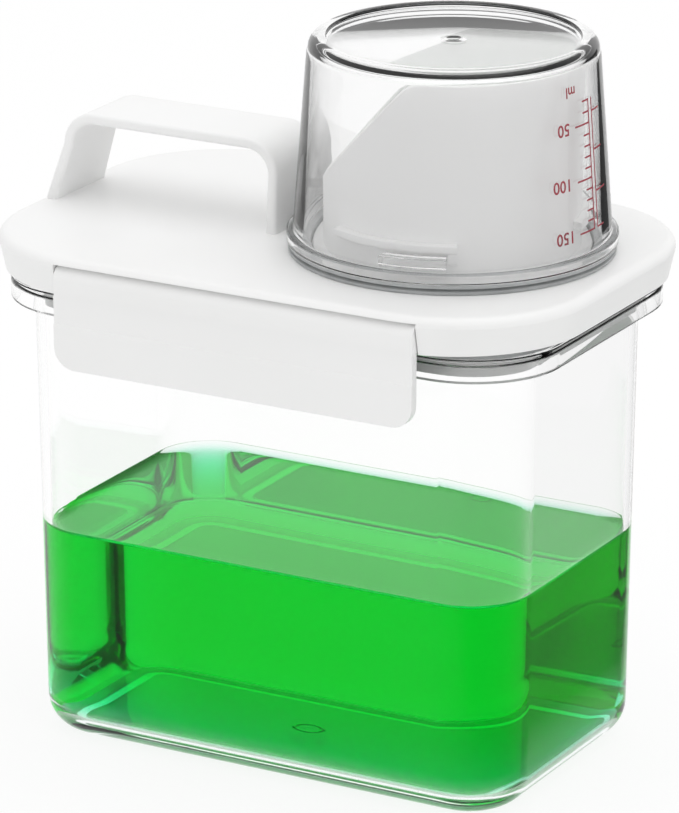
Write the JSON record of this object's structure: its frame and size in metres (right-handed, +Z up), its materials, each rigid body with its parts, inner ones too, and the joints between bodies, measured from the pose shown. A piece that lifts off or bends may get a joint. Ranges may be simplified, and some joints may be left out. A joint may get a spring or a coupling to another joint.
{
  "type": "laundry detergent dispenser",
  "caption": "Clear liquid detergent box with a white latched lid, strap handle, slanted pouring spout and an upturned clear measuring cup.",
  "frame": {"origin": "centre of the container's underside, on the surface that it stands on", "axes": "+Z up, +X along the box towards the spout and cup, -Y towards the front latch"},
  "size_m": [0.155, 0.1092, 0.182],
  "materials": {
    "clear_box": "clear moulded plastic, polished",
    "green_liquid": "clear green liquid",
    "white_plastic": "satin moulded polypropylene",
    "silicone": "soft see-through silicone",
    "clear_cup": "clear moulded plastic, polished",
    "scale_print": "printed ink"
  },
  "bodies": {
    "box": {"container": "clear_box", "detergent": "green_liquid"},
    "lid_body": {"lid": "white_plastic", "lid_gasket": "silicone", "spout": "white_plastic"},
    "front_flap": {"front_latch": "white_plastic"},
    "back_flap": {"back_latch": "white_plastic"},
    "cup_ring": {"cup_seal_ring": "silicone"},
    "cup": {"measuring_cup": "clear_cup"}
  },
  "joints": [
    {"name": "lid_lift", "type": "slide", "parent": "box", "child": "lid_body", "axis": [0, 0, 1], "range_m": [0, 0.05]},
    {"name": "front_latch_hinge", "type": "hinge", "parent": "lid_body", "child": "front_flap", "pos_m": [0.0016, -0.051, 0.1239], "axis": [-1, 0, 0], "range_deg": [0, 90]},
    {"name": "back_latch_hinge", "type": "hinge", "parent": "lid_body", "child": "back_flap", "pos_m": [0.0016, 0.051, 0.1239], "axis": [1, 0, 0], "range_deg": [0, 90]},
    {"name": "cup_turn", "type": "hinge", "parent": "lid_body", "child": "cup_ring", "pos_m": [0.0317, 0, 0.1306], "axis": [0, 0, -1], "range_deg": [0, 55]},
    {"name": "cup_lift", "type": "slide", "parent": "cup_ring", "child": "cup", "axis": [0, 0, 1], "range_m": [0, 0.06]}
  ]
}
